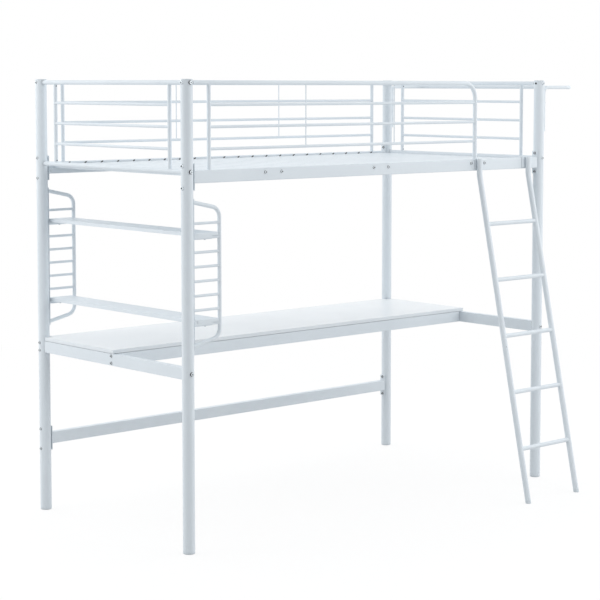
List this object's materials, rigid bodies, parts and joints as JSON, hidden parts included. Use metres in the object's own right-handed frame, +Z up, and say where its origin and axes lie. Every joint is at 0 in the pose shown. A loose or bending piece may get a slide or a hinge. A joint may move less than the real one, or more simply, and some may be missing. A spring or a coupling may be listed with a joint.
{
  "type": "loft bed with desk",
  "caption": "White tubular steel loft bed on round posts, with barred guards, hook-on ladder, a full-length desk, end shelves on racks and a loop for clothes.",
  "frame": {"origin": "on the floor, at the middle of the outline that takes in the ladder's feet and the clothes loop", "axes": "+X along the bed towards the ladder and the clothes loop, +Y across it towards the rear, +Z up"},
  "size_m": [2.322, 1.3754, 1.85],
  "materials": {
    "powder_coated_steel": "satin white powder coat with a faint cool tint",
    "white_board": "smooth white laminate on particle board",
    "white_plastic": "moulded white plastic, slightly greyer than the coated steel",
    "plated_fastener": "zinc-plated screws and bolt heads",
    "dark_plastic": "dark plastic clips and the insides of open holes"
  },
  "bodies": {
    "frame": {"post_front_left": "powder_coated_steel", "post_front_right": "powder_coated_steel", "post_rear_left": "powder_coated_steel", "post_rear_right": "powder_coated_steel", "left_end_frame": "powder_coated_steel", "right_end_frame": "powder_coated_steel", "front_guard": "powder_coated_steel", "rear_guard": "powder_coated_steel", "front_side_rail": "powder_coated_steel", "rear_side_rail": "powder_coated_steel", "bed_slat_01": "powder_coated_steel", "bed_slat_02": "powder_coated_steel", "bed_slat_03": "powder_coated_steel", "bed_slat_04": "powder_coated_steel", "bed_slat_05": "powder_coated_steel", "bed_slat_06": "powder_coated_steel", "bed_slat_07": "powder_coated_steel", "bed_slat_08": "powder_coated_steel", "bed_slat_09": "powder_coated_steel", "bed_slat_10": "powder_coated_steel", "bed_slat_11": "powder_coated_steel", "bed_slat_12": "powder_coated_steel", "bed_slat_13": "powder_coated_steel", "bed_slat_14": "powder_coated_steel", "bed_slat_15": "powder_coated_steel", "bed_slat_16": "powder_coated_steel", "bed_slat_17": "powder_coated_steel", "bed_slat_18": "powder_coated_steel", "bed_slat_19": "powder_coated_steel", "bed_slat_20": "powder_coated_steel", "bed_slat_21": "powder_coated_steel", "bed_slat_22": "powder_coated_steel", "bed_slat_23": "powder_coated_steel", "cross_support_left": "powder_coated_steel", "cross_support_middle": "powder_coated_steel", "cross_support_right": "powder_coated_steel", "desk_left_rail": "powder_coated_steel", "desk_right_rail": "powder_coated_steel", "desk_front_apron": "powder_coated_steel", "desk_rear_apron": "powder_coated_steel", "rear_stretcher": "powder_coated_steel", "front_shelf_rack": "powder_coated_steel", "rear_shelf_rack": "powder_coated_steel", "upper_shelf": "powder_coated_steel", "lower_shelf": "powder_coated_steel", "clothes_loop": "powder_coated_steel", "post_cap_front_left": "white_plastic", "post_cap_front_right": "white_plastic", "post_cap_rear_left": "white_plastic", "post_cap_rear_right": "white_plastic", "post_foot_front_left": "white_plastic", "post_foot_front_right": "white_plastic", "post_foot_rear_left": "white_plastic", "post_foot_rear_right": "white_plastic", "desk_board": "white_board"},
    "ladder": {"ladder_frame": "powder_coated_steel", "ladder_left_hook": "powder_coated_steel", "ladder_right_hook": "powder_coated_steel", "ladder_left_foot": "white_plastic", "ladder_right_foot": "white_plastic"}
  },
  "joints": [
    {"name": "ladder_lift", "type": "slide", "parent": "frame", "child": "ladder", "axis": [0, 0, 1], "range_m": [0, 0.06]}
  ]
}
